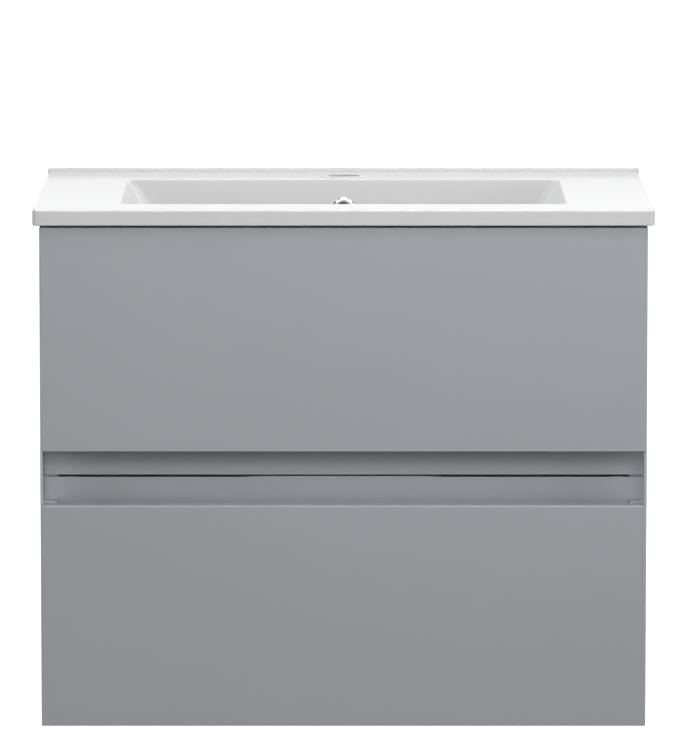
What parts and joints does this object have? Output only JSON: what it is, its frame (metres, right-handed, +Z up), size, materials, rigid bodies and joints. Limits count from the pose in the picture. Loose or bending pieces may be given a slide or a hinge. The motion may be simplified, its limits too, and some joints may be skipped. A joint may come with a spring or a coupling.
{
  "type": "bathroom vanity cabinet",
  "caption": "Wall-hung vanity cabinet with handleless full-extension drawers, a recess between their grey faces, and a thin-edged ceramic basin on top.",
  "frame": {"origin": "middle of the wall-plate screw pattern, on the wall plane", "axes": "+Z up, +X to the right seen from the front, +Y into the wall, so the drawers open along -Y"},
  "size_m": [0.613, 0.39, 0.521],
  "materials": {
    "grey_lacquer": "satin grey lacquer on board",
    "board_grey": "light grey melamine on board",
    "ceramic": "white gloss glaze",
    "chrome": "polished",
    "steel": "zinc plated",
    "cast_zinc": "die cast",
    "white_plastic": "moulded",
    "grey_plastic": "moulded",
    "cap_plastic": "moulded",
    "clear_bumper": "translucent",
    "beech": "plain"
  },
  "bodies": {
    "cabinet": {"left_gable": "grey_lacquer", "right_gable": "grey_lacquer", "bottom_panel": "grey_lacquer", "top_front_rail": "board_grey", "rear_hanging_rail": "board_grey", "rear_panel": "board_grey", "hanger_housings": "white_plastic", "hanger_hooks": "steel", "hanger_adjusters": "steel", "wall_plates": "steel", "cam_bolts": "steel", "cam_nuts": "cast_zinc", "dowels": "beech", "front_bumpers": "clear_bumper", "recess_end_caps": "cap_plastic", "basin": "ceramic", "overflow_ring": "chrome", "upper_left_cabinet_member": "steel", "upper_right_cabinet_member": "steel", "lower_left_cabinet_member": "steel", "lower_right_cabinet_member": "steel", "cabinet_member_screws": "steel"},
    "upper_drawer": {"upper_face": "grey_lacquer", "upper_inner_front": "grey_lacquer", "upper_battens": "grey_lacquer", "upper_left_side": "board_grey", "upper_right_side": "board_grey", "upper_left_back": "board_grey", "upper_right_back": "board_grey", "upper_bottom": "board_grey", "trap_surround": "grey_plastic", "upper_left_drawer_member": "steel", "upper_right_drawer_member": "steel", "upper_face_screws": "steel", "upper_box_screws": "steel", "upper_member_screws": "steel"},
    "lower_drawer": {"lower_face": "grey_lacquer", "lower_inner_front": "grey_lacquer", "lower_battens": "grey_lacquer", "lower_left_side": "board_grey", "lower_right_side": "board_grey", "lower_back": "board_grey", "lower_bottom": "board_grey", "lower_left_drawer_member": "steel", "lower_right_drawer_member": "steel", "lower_face_screws": "steel", "lower_box_screws": "steel", "lower_member_screws": "steel"},
    "upper_left_runner_middle": {"upper_left_middle_member": "steel", "upper_left_ball_cages": "steel"},
    "upper_right_runner_middle": {"upper_right_middle_member": "steel", "upper_right_ball_cages": "steel"},
    "lower_left_runner_middle": {"lower_left_middle_member": "steel", "lower_left_ball_cages": "steel"},
    "lower_right_runner_middle": {"lower_right_middle_member": "steel", "lower_right_ball_cages": "steel"}
  },
  "joints": [
    {"name": "upper_drawer_slide", "type": "slide", "parent": "cabinet", "child": "upper_drawer", "axis": [0, -1, 0], "range_m": [0, 0.3]},
    {"name": "upper_left_runner_slide", "type": "slide", "parent": "cabinet", "child": "upper_left_runner_middle", "axis": [0, -1, 0], "range_m": [0, 0.15]},
    {"name": "upper_right_runner_slide", "type": "slide", "parent": "cabinet", "child": "upper_right_runner_middle", "axis": [0, -1, 0], "range_m": [0, 0.15]},
    {"name": "lower_drawer_slide", "type": "slide", "parent": "cabinet", "child": "lower_drawer", "axis": [0, -1, 0], "range_m": [0, 0.3]},
    {"name": "lower_left_runner_slide", "type": "slide", "parent": "cabinet", "child": "lower_left_runner_middle", "axis": [0, -1, 0], "range_m": [0, 0.15]},
    {"name": "lower_right_runner_slide", "type": "slide", "parent": "cabinet", "child": "lower_right_runner_middle", "axis": [0, -1, 0], "range_m": [0, 0.15]}
  ],
  "couplings": [
    {"joint": "upper_left_runner_slide", "follows": "upper_drawer_slide", "ratio": 0.5},
    {"joint": "upper_right_runner_slide", "follows": "upper_drawer_slide", "ratio": 0.5},
    {"joint": "lower_left_runner_slide", "follows": "lower_drawer_slide", "ratio": 0.5},
    {"joint": "lower_right_runner_slide", "follows": "lower_drawer_slide", "ratio": 0.5}
  ]
}
